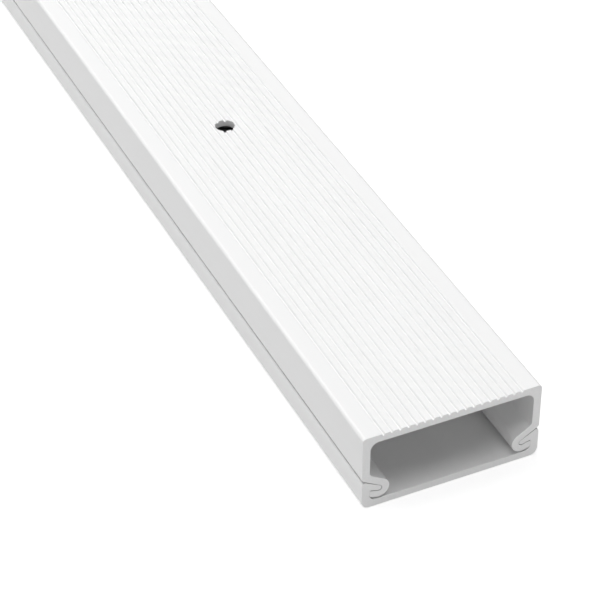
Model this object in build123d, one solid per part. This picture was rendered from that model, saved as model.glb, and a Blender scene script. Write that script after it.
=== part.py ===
from build123d import *
from math import cos, radians, tan
import os

# Cord cover raceway: two extruded lengths of rigid white PVC that hook into each other.
# The base channel has a grooved back with a row of screw holes. The cover closes its open side.
# Sizes are in millimetres and slopes in degrees. X runs along the stock, Y across it and Z up from
# the underside of the cover. The origin is in the middle of the length and of the width.

# Outside of the closed raceway
length = 1000.0
width = 35.0
height = 16.0

# Walls
back_wall = 1.5
side_wall = 1.5
cover_floor = 1.5

# Tongue on the inside of each cover side: a wedge that points inward and has a round tip.
# The cover side is as high as the point where the tongue's top slope meets the outer face.
cover_side = 6.25
tongue_reach = 3.84
tongue_tip_radius = 0.51
tongue_top_slope = 28.5
tongue_under_slope = 16.0

# Hook under each side of the base: a lip that slopes in over the tongue, and a return below it.
# The lip is a little steeper than the tongue, so the joint opens towards the outside.
lip_slope = 31.0
lip_wall = 1.43
return_wall = 1.36

# Play of the hook round the tongue. The base has settled on the tongues by the last of these.
hook_clearance = 0.1
hook_end_clearance = 0.02
hook_settle = 0.05

# Rounded edges and corners
back_corner_radius = 0.75
back_inner_radius = 1.6
lip_root_radius = 1.0
base_foot_radius = 0.55
hook_end_radius = 0.3
hook_foot_radius = 0.6
cover_corner_radius = 1.6
cover_inner_radius = 1.25
cover_top_radius = 0.5
tongue_root_radius = 0.3

# Grooves along the back, on both sides of a land on the centre line
groove_pitch = 1.59
groove_margin = 3.0
groove_mouth = 0.6
groove_bottom = 0.2
groove_depth = 0.4
groove_edge_radius = 0.25

# Screw holes on the centre line of the back, counted from the +X end
first_hole = 99.0
hole_pitch = 200.0
hole_diameter = 4.0

half_width = width / 2
inner_side = half_width - side_wall
inner_back = height - back_wall


def slope_height(centre, slope, offset, y):
    """The height at y of a line at this slope that passes this far above the centre."""
    rise = (y - centre[0]) * tan(radians(slope))
    return centre[1] + rise + offset / cos(radians(slope))


def bend(centre, radius, top_slope, under_slope):
    """An arc open to the outside, that runs into a line at one slope above and at one below."""
    return CenterArc(centre, radius, 90 + top_slope, 180 - top_slope + under_slope)


def whole_section(*lines):
    """The face across the stock, from its outline on the +Y side of the centre line."""
    half = make_face(Plane.YZ * Curve(lines))
    return half + mirror(half, Plane.XZ)


# Centre of the tongue's tip, and of the slot that the hook leaves round it
tip_y = half_width - tongue_reach + tongue_tip_radius
tip = (tip_y, slope_height((half_width, cover_side), tongue_top_slope, -tongue_tip_radius, tip_y))
slot = (tip_y, tip[1] - hook_settle)
slot_radius = tongue_tip_radius + hook_clearance


def cover_section():
    """The cover: a floor, two low sides and the tongue on each side."""
    tongue = bend(tip, tongue_tip_radius, tongue_top_slope, tongue_under_slope)
    root = slope_height(tip, tongue_under_slope, -tongue_tip_radius, inner_side)
    outside = FilletPolyline(
        (0, 0),
        (half_width, 0),
        (half_width, cover_side),
        tongue @ 0,
        radius=[cover_corner_radius, cover_top_radius],
    )
    inside = FilletPolyline(
        tongue @ 1,
        (inner_side, root),
        (inner_side, cover_floor),
        (0, cover_floor),
        radius=[tongue_root_radius, cover_inner_radius],
    )
    middle = Line((0, cover_floor), (0, 0))
    return whole_section(outside, tongue, inside, middle)


def hook_outside():
    """The outer arc of the hook, which takes the lip's thickness over into the return's."""
    above = slot_radius + lip_wall
    below = slot_radius + return_wall
    lip_share, return_share = cos(radians(lip_slope)), cos(radians(tongue_under_slope))
    rise = (above - below) / (lip_share + return_share)
    radius = above - rise * lip_share
    return bend((slot[0], slot[1] + rise), radius, lip_slope, tongue_under_slope)


def base_section():
    """The base channel: a back, two sides, and a hook that turns in under each side and out again."""
    inner_bend = bend(slot, slot_radius, lip_slope, tongue_under_slope)
    outer_bend = hook_outside()
    hook_end = inner_side - hook_end_clearance
    return_top = slope_height(slot, tongue_under_slope, -slot_radius, hook_end)
    return_under = slope_height(slot, tongue_under_slope, -slot_radius - return_wall, hook_end)
    outside = FilletPolyline(
        (0, height),
        (half_width, height),
        (half_width, slope_height(slot, lip_slope, slot_radius, half_width)),
        inner_bend @ 0,
        radius=[back_corner_radius, base_foot_radius],
    )
    hook_tip = FilletPolyline(
        inner_bend @ 1,
        (hook_end, return_top),
        (hook_end, return_under),
        outer_bend @ 1,
        radius=[hook_end_radius, hook_foot_radius],
    )
    inside = FilletPolyline(
        outer_bend @ 0,
        (inner_side, slope_height(slot, lip_slope, slot_radius + lip_wall, inner_side)),
        (inner_side, inner_back),
        (0, inner_back),
        radius=[lip_root_radius, back_inner_radius],
    )
    middle = Line((0, inner_back), (0, height))
    return whole_section(outside, inner_bend, hook_tip, outer_bend, inside, middle)


def grooved(section):
    """The section with its row of grooves cut into the back, and their edges rounded."""
    groove = make_face(Plane.YZ * Polyline(
        (-groove_mouth / 2, height),
        (-groove_bottom / 2, height - groove_depth),
        (groove_bottom / 2, height - groove_depth),
        (groove_mouth / 2, height),
        close=True,
    ))
    for i in range(int((half_width - groove_margin) / groove_pitch)):
        y = (i + 0.5) * groove_pitch
        section -= [Pos(Y=y) * groove, Pos(Y=-y) * groove]
    on_back = section.vertices().filter_by_position(Axis.Z, height, height)
    shoulders = [vertex for vertex in on_back if abs(vertex.Y) < half_width - groove_margin]
    return fillet(shoulders, groove_edge_radius)


def base_channel():
    channel = extrude(grooved(base_section()), amount=length / 2, both=True)
    hole = Cylinder(hole_diameter / 2, 2 * back_wall)
    for i in range(int((length - 2 * first_hole) / hole_pitch) + 1):
        channel -= Pos(length / 2 - first_hole - i * hole_pitch, 0, height - back_wall / 2) * hole
    return channel


def snap_cover():
    return extrude(cover_section(), amount=length / 2, both=True)


os.makedirs("parts", exist_ok=True)
export_step(base_channel(), "parts/base_channel.step")
export_step(snap_cover(), "parts/snap_cover.step")
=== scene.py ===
from math import atan2, ceil, cos, degrees, pi, radians, sin, tan

import bpy
from mathutils import Matrix, Vector

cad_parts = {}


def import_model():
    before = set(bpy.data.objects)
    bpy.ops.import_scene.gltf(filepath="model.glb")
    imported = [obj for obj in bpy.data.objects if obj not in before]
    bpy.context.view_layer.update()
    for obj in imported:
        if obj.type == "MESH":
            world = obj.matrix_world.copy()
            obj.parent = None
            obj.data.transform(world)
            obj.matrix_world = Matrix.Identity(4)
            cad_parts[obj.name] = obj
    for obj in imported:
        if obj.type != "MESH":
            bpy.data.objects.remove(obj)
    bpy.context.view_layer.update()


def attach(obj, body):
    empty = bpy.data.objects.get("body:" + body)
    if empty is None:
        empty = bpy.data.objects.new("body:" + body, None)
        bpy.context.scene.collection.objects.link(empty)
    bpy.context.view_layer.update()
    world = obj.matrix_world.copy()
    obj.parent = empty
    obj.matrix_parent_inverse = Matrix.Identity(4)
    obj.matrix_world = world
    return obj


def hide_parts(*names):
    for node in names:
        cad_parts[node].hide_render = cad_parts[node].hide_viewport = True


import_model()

MM = 0.001

# The section of the raceway, in millimetres and degrees
WIDTH, HEIGHT, LENGTH = 35.0, 16.0, 1000.0
WALL = 1.5
COVER_SIDE = 6.25
TONGUE_REACH, TONGUE_TIP = 3.84, 0.51
TONGUE_TOP_SLOPE, UNDER_SLOPE, LIP_SLOPE = 28.5, 16.0, 31.0
LIP_WALL, RETURN_WALL = 1.43, 1.36
HOOK_CLEARANCE, HOOK_END_CLEARANCE, HOOK_SETTLE = 0.1, 0.02, 0.05

# Radii of its corners
BACK_CORNER, BACK_INNER, LIP_ROOT, BASE_FOOT = 0.75, 1.6, 1.0, 0.55
HOOK_END, HOOK_FOOT = 0.3, 0.6
COVER_CORNER, COVER_INNER, COVER_TOP, TONGUE_ROOT = 1.6, 1.25, 0.5, 0.3

# Grooves on each half of the back
GROOVES, GROOVE_PITCH = 9, 1.59
GROOVE_MOUTH, GROOVE_BOTTOM, GROOVE_DEPTH = 0.6, 0.2, 0.4
GROOVE_SHOULDER, GROOVE_ROOT = 0.25, 0.05

# X of the screw holes, their radius, and the small radii that a drill and a saw leave on an edge
HOLES = [401.0, 201.0, 1.0, -199.0, -399.0]
HOLE_RADIUS, HOLE_EDGE = 2.0, 0.05
CUT_EDGE = 0.03

# Fineness of the meshes: degrees of a corner and of a hole's rim for one step, the angles that a
# rounded edge has points at, the distance along X from a hole's centre to the rings on both sides
# of it, the least distance between points added for a rim, and the tolerance of comparisons
ARC_STEP = 6.0
HOLE_STEP = 7.5
EDGE_STEPS = (0, 30, 60, 90)
HOLE_CELL = 3.0
RIM_SPACING = 0.01
TOLERANCE = 1e-4

SIDE = WIDTH / 2
INNER_SIDE = SIDE - WALL
RIM = HOLE_RADIUS + HOLE_EDGE

# The plastic. Its white and its roughness cross these ranges while a noise crosses its own.
WHITE, ROUGHNESS, IOR = (0.85, 0.87), (0.4, 0.5), 1.53
NOISE_RANGE = (0.3, 0.7)

# Its noises, each with a scale per millimetre and a detail, the scales that draw the lines and
# bands out along X, and the depths of the relief in metres
LINES, BANDS, GRAIN = (3.5, 2.0), (0.3, 2.0), (2.5, 1.0)
DRAWN_OUT = (0.0001, 1.0, 1.0)
RELIEF_DEPTH, GRAIN_DEPTH = 1.5e-6, 1e-6

# Saw marks: rings round a point outside the section, on faces whose normal lies this much along X.
# The section is moved by the offset, which brings that point to zero.
CUT_FACE = (0.97, 1.0)
SAW_OFFSET = (0.0, 25.0, 80.0)
SAW_MARKS = {"Scale": 0.8, "Distortion": 3.0, "Detail": 3.0, "Detail Scale": 0.4}

# Zones with painted shade or a painted highlight, which is added to the white: painted shade on
# the groove walls, in the joint and on the ledge outside it, and a painted highlight on the
# groove bottoms. Each lies where a place, in millimetres, and the share of the normal along X
# are within a reach of a middle. Steepness is the range of another share of the normal over
# which the painted shade comes in, and the joint's margin is added to the radius of the slot.
LENGTHWISE = (0.0, 0.1)
GROOVED_Y = (0.0, 14.4)
# Painted shade: the groove walls are darkened, more where they are steeper
GROOVE_WALL_Z, GROOVE_WALL_STEEPNESS, GROOVE_WALL_PAINTED_SHADE = (HEIGHT - 0.25, 0.24), (0.4, 0.8), -0.03
# Painted highlight: the groove bottoms are lightened
GROOVE_BOTTOM_Z, GROOVE_BOTTOM_PAINTED_HIGHLIGHT = (HEIGHT - GROOVE_DEPTH, 0.03), 0.05
# Painted shade: the upward face of the ledge outside the joint is darkened
LEDGE_Y, LEDGE_Z, LEDGE_STEEPNESS, LEDGE_PAINTED_SHADE = (17.2, 0.4), (6.1, 0.4), (0.2, 0.6), -0.1
# Painted shade: the faces inside the slot between the hook and the tongue are darkened
JOINT_Y, JOINT_MARGIN, JOINT_PAINTED_SHADE = (15.35, 1.9), 0.02, -0.25

# Floor, world and camera. Places are in metres, the lens and the sensor in millimetres.
FLOOR_REACH, FLOOR_COLOUR, FLOOR_GLOW = 30.0, 0.6, 0.6
WORLD_LIGHT, WORLD_SEEN = 0.067, 1.0
CAMERA_AT, LENS, SENSOR = (0.76002, -0.15055, 0.27129), 136.82, 36.0
CAMERA_BACK, CAMERA_RIGHT = (0.7175419, -0.3346079, 0.6108774), (0.42248, 0.90637, 0.0002)

# Soft lights: name, azimuth, elevation, angular size, irradiance over pi
LIGHTS = [
    ("overhead", 0, 90, 50, 0.503),
    ("behind", 180, 35, 50, 0.31),
    ("behind_left", -135, 45, 50, 0.24),
    ("left", -90, 10, 50, 0.175),
    ("front", 0, 10, 50, 0.351),
]
LAMP_DISTANCE = 3.0


def slope_height(centre, slope, offset, y):
    """The height at y of a line at this slope that passes this far above the centre."""
    return centre[1] + (y - centre[0]) * tan(radians(slope)) + offset / cos(radians(slope))


def wedge_point(centre, top_slope, above, under_slope, below):
    """Where a line above the centre and a line below it meet."""
    spread = tan(radians(top_slope)) - tan(radians(under_slope))
    reach = above / cos(radians(top_slope)) + below / cos(radians(under_slope))
    y = centre[0] - reach / spread
    return y, slope_height(centre, top_slope, above, y)


# Centre of the tongue's tip, and of the slot that the hook leaves round it
TIP_Y = SIDE - TONGUE_REACH + TONGUE_TIP
TIP = (TIP_Y, slope_height((SIDE, COVER_SIDE), TONGUE_TOP_SLOPE, -TONGUE_TIP, TIP_Y))
SLOT = (TIP_Y, TIP[1] - HOOK_SETTLE)
SLOT_RADIUS = TONGUE_TIP + HOOK_CLEARANCE


def both_sides(corners):
    return corners + [(-y, z, radius) for y, z, radius in reversed(corners)]


def cover_corners():
    """Corners of the cover with their radii, clockwise seen from +X."""
    root = slope_height(TIP, UNDER_SLOPE, -TONGUE_TIP, INNER_SIDE)
    tongue = wedge_point(TIP, TONGUE_TOP_SLOPE, TONGUE_TIP, UNDER_SLOPE, TONGUE_TIP)
    return both_sides([
        (INNER_SIDE, WALL, COVER_INNER),
        (INNER_SIDE, root, TONGUE_ROOT),
        (*tongue, TONGUE_TIP),
        (SIDE, COVER_SIDE, COVER_TOP),
        (SIDE, 0.0, COVER_CORNER),
    ])


def base_corners():
    """Corners of the base channel with their radii, clockwise seen from +X."""
    half = []
    for i in range(GROOVES):
        y = (i + 0.5) * GROOVE_PITCH
        half += [
            (y - GROOVE_MOUTH / 2, HEIGHT, GROOVE_SHOULDER),
            (y - GROOVE_BOTTOM / 2, HEIGHT - GROOVE_DEPTH, GROOVE_ROOT),
            (y + GROOVE_BOTTOM / 2, HEIGHT - GROOVE_DEPTH, GROOVE_ROOT),
            (y + GROOVE_MOUTH / 2, HEIGHT, GROOVE_SHOULDER),
        ]
    above, below = SLOT_RADIUS + LIP_WALL, SLOT_RADIUS + RETURN_WALL
    lip_share, return_share = cos(radians(LIP_SLOPE)), cos(radians(UNDER_SLOPE))
    bend_radius = above - (above - below) / (lip_share + return_share) * lip_share
    hook_end = INNER_SIDE - HOOK_END_CLEARANCE
    half += [
        (SIDE, HEIGHT, BACK_CORNER),
        (SIDE, slope_height(SLOT, LIP_SLOPE, SLOT_RADIUS, SIDE), BASE_FOOT),
        (*wedge_point(SLOT, LIP_SLOPE, SLOT_RADIUS, UNDER_SLOPE, SLOT_RADIUS), SLOT_RADIUS),
        (hook_end, slope_height(SLOT, UNDER_SLOPE, -SLOT_RADIUS, hook_end), HOOK_END),
        (hook_end, slope_height(SLOT, UNDER_SLOPE, -below, hook_end), HOOK_FOOT),
        (*wedge_point(SLOT, LIP_SLOPE, above, UNDER_SLOPE, below), bend_radius),
        (INNER_SIDE, slope_height(SLOT, LIP_SLOPE, above, INNER_SIDE), LIP_ROOT),
        (INNER_SIDE, HEIGHT - WALL, BACK_INNER),
    ]
    return both_sides(half)


def left_of(direction):
    return Vector((-direction.y, direction.x))


def rounded(corners):
    """The points of an outline, with the way that each of them faces."""
    outline = []
    for i, (y, z, radius) in enumerate(corners):
        corner = Vector((y, z))
        into = (corner - Vector(corners[i - 1][:2])).normalized()
        out = (Vector(corners[(i + 1) % len(corners)][:2]) - corner).normalized()
        turn = atan2(into.cross(out), into.dot(out))
        bulge = -radius if turn > 0 else radius
        centre = corner - into * radius * tan(abs(turn) / 2) - left_of(into) * bulge
        steps = max(2, ceil(abs(degrees(turn)) / ARC_STEP))
        for k in range(steps + 1):
            facing = Matrix.Rotation(turn * k / steps, 2) @ left_of(into)
            outline.append((centre + facing * bulge, facing))
    return outline


def on_back(point):
    """Whether a point of the base channel's outline is on either face of its back, near a hole."""
    return abs(point.x) < RIM + TOLERANCE and point.y > HEIGHT - WALL - TOLERANCE


def with_rim_points(outline):
    """The outline with points added on both faces of the back where lines along the stock cross
    the rim of a hole at even steps round it, so that both faces have them at the same places."""
    steps = round(90 / HOLE_STEP)
    even = [RIM * sin(radians(k * HOLE_STEP)) for k in range(-steps, steps + 1)]
    own = [point.x for point, facing in outline if on_back(point)]
    wanted = own + [y for y in even if all(abs(y - other) > RIM_SPACING for other in own)]
    closed = []
    for (here, facing), (there, next_facing) in zip(outline, outline[1:] + outline[:1]):
        closed.append((here, facing))
        if min(here.y, there.y) < HEIGHT - WALL - TOLERANCE:
            continue
        first, last = sorted((here.x, there.x))
        between = [y for y in wanted if first + TOLERANCE < y < last - TOLERANCE]
        for y in sorted(between, reverse=there.x < here.x):
            share = (y - here.x) / (there.x - here.x)
            way = facing.lerp(next_facing, share).normalized()
            closed.append((here.lerp(there, share), way))
    return closed


class Extrusion:
    """A mesh that runs an outline along X, with rounded cut ends and holes through its back."""

    def __init__(self, outline):
        self.outline = outline
        self.points, self.normals, self.faces = [], [], []

    def add(self, x, y, z, normal):
        self.points.append(Vector((x, y, z)) * MM)
        self.normals.append(normal)
        return len(self.points) - 1

    def ring(self, x, inset=0.0, tilt=0.0):
        """The whole outline at x, drawn in by the inset, its normals tilted along X."""
        lean, rest = sin(radians(tilt)), cos(radians(tilt))
        indices = []
        for point, facing in self.outline:
            normal = Vector((lean, facing.x * rest, facing.y * rest))
            y, z = point.x - facing.x * inset, point.y - facing.y * inset
            indices.append(self.add(x, y, z, normal))
        return indices

    def join(self, low, high):
        for i in range(len(low)):
            self.faces.append((low[i - 1], high[i - 1], high[i], low[i]))

    def end(self, sign):
        """The rings of a cut end, from the outside in."""
        rings = []
        for angle in reversed(EDGE_STEPS):
            x = LENGTH / 2 - CUT_EDGE * (1 - sin(radians(angle)))
            rings.append(self.ring(sign * x, CUT_EDGE * (1 - cos(radians(angle))), sign * angle))
        return rings

    def pierce(self, low, high, centre):
        """Joins two rings round a hole whose centre is at this X."""
        near, far = {}, {}
        for i, (point, facing) in enumerate(self.outline):
            if on_back(point):
                reach_squared = RIM ** 2 - point.x ** 2
                normal = Vector((0, facing.x, facing.y))
                if reach_squared < 4 * RIM * TOLERANCE:
                    near[i] = far[i] = self.add(centre, point.x, point.y, normal)
                else:
                    reach = reach_squared ** 0.5
                    near[i] = self.add(centre - reach, point.x, point.y, normal)
                    far[i] = self.add(centre + reach, point.x, point.y, normal)
        count = len(self.outline)
        for here in range(count):
            last = here - 1 if here else count - 1
            if here in near and last in near:
                self.faces.append((low[last], near[last], near[here], low[here]))
                self.faces.append((far[last], high[last], high[here], far[here]))
            else:
                before = [near[last]] if last in near else []
                after = [near[here]] if here in near else []
                self.faces.append((low[last], *before, high[last], high[here], *after, low[here]))
        self.bore(centre, near, far)

    def bore(self, centre, near, far):
        """The wall of a hole, from the rim on the grooved face to the rim inside."""
        rows = []
        for side in (1, -1):
            face = sorted(
                (i for i in near if (self.outline[i][1].y > 0) == (side > 0)),
                key=lambda i: self.outline[i][0].x,
            )
            edge = [[far[i] for i in face] + [near[i] for i in reversed(face[1:-1])]]
            for angle in EDGE_STEPS[1:]:
                lean, rise = sin(radians(angle)), cos(radians(angle))
                radius = HOLE_RADIUS + HOLE_EDGE * (1 - lean)
                drop = HOLE_EDGE * (1 - rise) * side
                row = []
                for index in edge[0]:
                    x, y, z = self.points[index] / MM
                    out = Vector((x - centre, y)).normalized()
                    normal = Vector((-out.x * lean, -out.y * lean, rise * side))
                    row.append(self.add(centre + out.x * radius, out.y * radius, z - drop, normal))
                edge.append(row)
            rows += edge if side > 0 else reversed(edge)
        for upper, lower in zip(rows, rows[1:]):
            for j in range(len(upper)):
                self.faces.append((upper[j - 1], upper[j], lower[j], lower[j - 1]))

    def build(self, name, holes=()):
        rings = self.end(-1)
        pierced = {}
        for centre in sorted(holes):
            pierced[len(rings)] = centre
            rings.append(self.ring(centre - HOLE_CELL))
            rings.append(self.ring(centre + HOLE_CELL))
        rings += reversed(self.end(1))
        for i, (low, high) in enumerate(zip(rings, rings[1:])):
            if i in pierced:
                self.pierce(low, high, pierced[i])
            else:
                self.join(low, high)
        self.faces.append(tuple(rings[0]))
        self.faces.append(tuple(reversed(rings[-1])))
        mesh = bpy.data.meshes.new(name)
        mesh.from_pydata(self.points, [], self.faces)
        mesh.validate()
        mesh.shade_smooth()
        mesh.normals_split_custom_set_from_vertices(self.normals)
        piece = bpy.data.objects.new(name, mesh)
        bpy.context.scene.collection.objects.link(piece)
        return piece


def new_material(name):
    """An empty node material, with its node tree."""
    material = bpy.data.materials.new(name)
    material.use_nodes = True
    material.node_tree.nodes.clear()
    return material, material.node_tree


def add_node(tree, kind, inputs=None, **settings):
    """A shader node with its settings, and its inputs set to values or linked to sockets."""
    made = tree.nodes.new("ShaderNode" + kind)
    for name, value in settings.items():
        setattr(made, name, value)
    for name, value in (inputs or {}).items():
        if isinstance(value, bpy.types.NodeSocket):
            tree.links.new(value, made.inputs[name])
        else:
            made.inputs[name].default_value = value
    return made


def calculate(tree, operation, *values):
    """The result of a Math node."""
    return add_node(tree, "Math", dict(enumerate(values)), operation=operation).outputs[0]


def product(tree, *factors):
    result = factors[0]
    for factor in factors[1:]:
        result = calculate(tree, "MULTIPLY", result, factor)
    return result


def within(tree, value, zone):
    """A socket that is 1 where the value is within the zone's reach of its middle, else 0."""
    middle, reach = zone
    return calculate(tree, "COMPARE", value, middle, reach)


def ramp(tree, value, source, target=(0.0, 1.0)):
    """A socket that crosses the target range while the value crosses the source range."""
    return add_node(tree, "MapRange", {
        "Value": value,
        "From Min": source[0], "From Max": source[1], "To Min": target[0], "To Max": target[1],
    }).outputs[0]


def mix(tree, share, low, high):
    """A socket that goes from one socket's value to another's by a share."""
    return add_node(tree, "Mix", {0: share, 2: low, 3: high}).outputs[0]


def noise(tree, place, kind):
    scale, detail = kind
    inputs = {"Vector": place, "Scale": scale, "Detail": detail}
    return add_node(tree, "TexNoise", inputs).outputs[0]


def bump(tree, height, depth, **normal):
    return add_node(tree, "Bump", {"Height": height, "Distance": depth, **normal}).outputs[0]


def below_line(tree, y, z, slope, offset):
    """A socket that is 1 below a line at this slope that passes this far above the slot, else 0."""
    height = slope_height(SLOT, slope, offset, 0.0)
    line = calculate(tree, "MULTIPLY_ADD", y, tan(radians(slope)), height)
    return calculate(tree, "LESS_THAN", z, line)


def with_painted_light(tree, colour, place, normal, along):
    """The colour with painted shade on the groove walls, in the joint and on the ledge outside it,
    and a painted highlight on the groove bottoms.
    """
    point = add_node(tree, "SeparateXYZ", {"Vector": place})
    y, z = point.outputs["Y"], point.outputs["Z"]
    off_centre = calculate(tree, "ABSOLUTE", y)
    across = calculate(tree, "ABSOLUTE", normal.outputs["Y"])
    lengthwise = within(tree, along, LENGTHWISE)
    grooved = product(tree, lengthwise, within(tree, y, GROOVED_Y))
    # painted shade on the steep groove walls
    walls = product(
        tree, grooved, within(tree, z, GROOVE_WALL_Z), ramp(tree, across, GROOVE_WALL_STEEPNESS),
    )
    # painted highlight on the groove bottoms
    bottoms = product(tree, grooved, within(tree, z, GROOVE_BOTTOM_Z))
    # painted shade on the upward face of the ledge outside the joint
    ledge = product(
        tree, lengthwise, within(tree, z, LEDGE_Z), within(tree, off_centre, LEDGE_Y),
        ramp(tree, normal.outputs["Z"], LEDGE_STEEPNESS),
    )
    # painted shade on the faces inside the joint's slot
    play = SLOT_RADIUS + JOINT_MARGIN
    beneath = below_line(tree, off_centre, z, UNDER_SLOPE, -play)
    joint = product(
        tree, lengthwise, within(tree, off_centre, JOINT_Y),
        below_line(tree, off_centre, z, LIP_SLOPE, play),
        calculate(tree, "SUBTRACT", 1.0, beneath),
    )
    # Each zone's painted shade or painted highlight is added to the white
    for zone, painted_light in (
        (walls, GROOVE_WALL_PAINTED_SHADE), (bottoms, GROOVE_BOTTOM_PAINTED_HIGHLIGHT), (ledge, LEDGE_PAINTED_SHADE),
        (joint, JOINT_PAINTED_SHADE),
    ):
        colour = calculate(tree, "MULTIPLY_ADD", zone, painted_light, colour)
    return colour


def white_pvc():
    """Extruded rigid PVC: faint lines and bands along the stock, saw marks on its cut ends,
    painted shade on groove walls, in the joint and on the ledge outside it, and a painted
    highlight on groove bottoms."""
    material, tree = new_material("white_pvc")
    coordinates = add_node(tree, "TexCoord")
    per_mm = (1 / MM, 1 / MM, 1 / MM)
    place = add_node(tree, "VectorMath", {
        0: coordinates.outputs["Object"], 1: per_mm,
    }, operation="MULTIPLY").outputs[0]
    drawn = add_node(tree, "Mapping", {"Vector": place, "Scale": DRAWN_OUT}).outputs[0]
    lines, bands = noise(tree, drawn, LINES), noise(tree, drawn, BANDS)
    grain = noise(tree, place, GRAIN)

    normal = add_node(tree, "SeparateXYZ", {"Vector": coordinates.outputs["Normal"]})
    along = calculate(tree, "ABSOLUTE", normal.outputs["X"])
    cut = ramp(tree, along, CUT_FACE)
    sawn = add_node(tree, "Mapping", {
        "Vector": place, "Location": SAW_OFFSET, "Scale": (0.0, 1.0, 1.0),
    }).outputs[0]
    marks = add_node(
        tree, "TexWave", {"Vector": sawn, **SAW_MARKS}, wave_type="RINGS", rings_direction="X",
    ).outputs[0]

    shade = mix(tree, cut, bands, grain)
    pressed = bump(tree, mix(tree, cut, lines, marks), RELIEF_DEPTH)
    plastic = add_node(tree, "BsdfPrincipled", {
        "Base Color": with_painted_light(tree, ramp(tree, shade, NOISE_RANGE, WHITE), place, normal, along),
        "Roughness": ramp(tree, shade, NOISE_RANGE, ROUGHNESS),
        "IOR": IOR,
        "Normal": bump(tree, grain, GRAIN_DEPTH, Normal=pressed),
    })
    add_node(tree, "OutputMaterial", {"Surface": plastic.outputs[0]})
    return material


def seen(tree):
    """A socket that is 1 for what the camera, a reflection or a refraction sees, else 0."""
    path = add_node(tree, "LightPath").outputs
    direct = calculate(tree, "MAXIMUM", path["Is Camera Ray"], path["Is Glossy Ray"])
    return calculate(tree, "MAXIMUM", direct, path["Is Transmission Ray"])


def floor():
    mesh = bpy.data.meshes.new("floor")
    far = FLOOR_REACH
    corners = [(-far, -far, 0), (far, -far, 0), (far, far, 0), (-far, far, 0)]
    mesh.from_pydata(corners, [], [(0, 1, 2, 3)])
    plane = bpy.data.objects.new("floor", mesh)
    bpy.context.scene.collection.objects.link(plane)
    material, tree = new_material("pale_floor")
    matte = add_node(tree, "BsdfDiffuse", {"Color": (FLOOR_COLOUR, FLOOR_COLOUR, FLOOR_COLOUR, 1)})
    glow = add_node(tree, "Emission", {"Strength": product(tree, seen(tree), FLOOR_GLOW)})
    both = add_node(tree, "AddShader", {0: matte.outputs[0], 1: glow.outputs[0]})
    add_node(tree, "OutputMaterial", {"Surface": both.outputs[0]})
    mesh.materials.append(material)


def camera():
    data = bpy.data.cameras.new("camera")
    data.sensor_width = SENSOR
    data.lens = LENS
    shot = bpy.data.objects.new("camera", data)
    right = Vector(CAMERA_RIGHT).normalized()
    back = Vector(CAMERA_BACK).normalized()
    rotation = Matrix((right, back.cross(right), back)).transposed()
    shot.matrix_world = Matrix.Translation(CAMERA_AT) @ rotation.to_4x4()
    bpy.context.scene.collection.objects.link(shot)
    bpy.context.scene.camera = shot


def world():
    """Light from all round, brighter where it is seen: a pale grey beyond the floor's edge."""
    made = bpy.data.worlds.new("world")
    bpy.context.scene.world = made
    made.use_nodes = True
    tree = made.node_tree
    tree.nodes.clear()
    strength = ramp(tree, seen(tree), (0.0, 1.0), (WORLD_LIGHT, WORLD_SEEN))
    background = add_node(tree, "Background", {"Strength": strength})
    add_node(tree, "OutputWorld", {"Surface": background.outputs[0]})


def lights():
    for name, azimuth, elevation, size, strength in LIGHTS:
        data = bpy.data.lights.new(name, "SUN")
        data.angle = radians(size)
        data.energy = strength * pi
        lamp = bpy.data.objects.new(name, data)
        towards = Vector((
            cos(radians(elevation)) * cos(radians(azimuth)),
            cos(radians(elevation)) * sin(radians(azimuth)),
            sin(radians(elevation)),
        ))
        lamp.rotation_euler = towards.to_track_quat("Z", "Y").to_euler()
        lamp.location = towards * LAMP_DISTANCE
        bpy.context.scene.collection.objects.link(lamp)


pvc = white_pvc()
channel = Extrusion(with_rim_points(rounded(base_corners()))).build("channel", HOLES)
cover = Extrusion(rounded(cover_corners())).build("cover")
for piece, cad_node, body in ((channel, "base_channel", "base"), (cover, "snap_cover", "cover")):
    piece.data.materials.append(pvc)
    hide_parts(cad_node)
    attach(piece, body)

floor()
camera()
world()
lights()
bpy.context.scene.view_settings.view_transform = "Standard"
